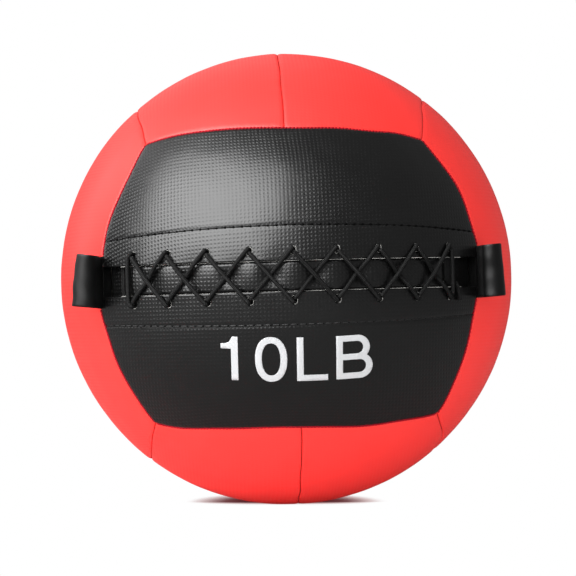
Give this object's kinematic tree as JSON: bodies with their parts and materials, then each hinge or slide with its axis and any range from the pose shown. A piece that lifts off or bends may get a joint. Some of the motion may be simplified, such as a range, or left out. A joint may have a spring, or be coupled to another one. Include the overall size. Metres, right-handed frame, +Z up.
{
  "type": "wall ball",
  "caption": "Soft stuffed wall ball with sewn cover panels, a laced front opening over a tongue, and hinged webbing finger loops at its ends.",
  "frame": {"origin": "middle of the flat on which the ball rests, straight under its centre", "axes": "+Z up, laced black face towards -Y, lacing along X with the loose tail at its +X end"},
  "size_m": [0.3546, 0.3586, 0.3536],
  "materials": {
    "red_vinyl": "red synthetic leather with a fine embossed grain, low sheen",
    "black_vinyl": "black synthetic leather with a fine embossed dot grain, soft sheen",
    "white_scrim": "undyed woven backing cloth, matt",
    "black_cord": "round braided polyester cord, matt",
    "black_webbing": "smooth woven nylon webbing with a satin sheen",
    "grey_lining": "plain woven lining, matt",
    "textile_fill": "packed reclaimed textile fibre, matt",
    "ballast_canvas": "plain canvas, matt",
    "ballast_grit": "loose iron grit, dull"
  },
  "bodies": {
    "ball": {"front_upper_panel": "black_vinyl", "front_lower_panel": "black_vinyl", "rear_upper_panel": "black_vinyl", "rear_lower_panel": "black_vinyl", "left_front_panel": "red_vinyl", "left_rear_panel": "red_vinyl", "right_front_panel": "red_vinyl", "right_rear_panel": "red_vinyl", "top_left_panel": "red_vinyl", "top_right_panel": "red_vinyl", "bottom_left_panel": "red_vinyl", "bottom_right_panel": "red_vinyl", "upper_eyelet_backing": "white_scrim", "lower_eyelet_backing": "white_scrim", "lacing_tongue": "black_vinyl", "lace": "black_cord", "left_handle_anchor": "black_webbing", "right_handle_anchor": "black_webbing", "inner_liner": "grey_lining", "stuffing_upper": "textile_fill", "stuffing_lower": "textile_fill", "ballast_bag": "ballast_canvas", "ballast_fill": "ballast_grit"},
    "left_handle": {"left_handle_loop": "black_webbing"},
    "right_handle": {"right_handle_loop": "black_webbing"}
  },
  "joints": [
    {"name": "left_handle_swing", "type": "hinge", "parent": "ball", "child": "left_handle", "pos_m": [-0.14009, -0.11143, 0.1763], "axis": [0, 0, 1], "range_deg": [-40, 50]},
    {"name": "right_handle_swing", "type": "hinge", "parent": "ball", "child": "right_handle", "pos_m": [0.14009, -0.11143, 0.1763], "axis": [0, 0, -1], "range_deg": [-40, 50]}
  ]
}
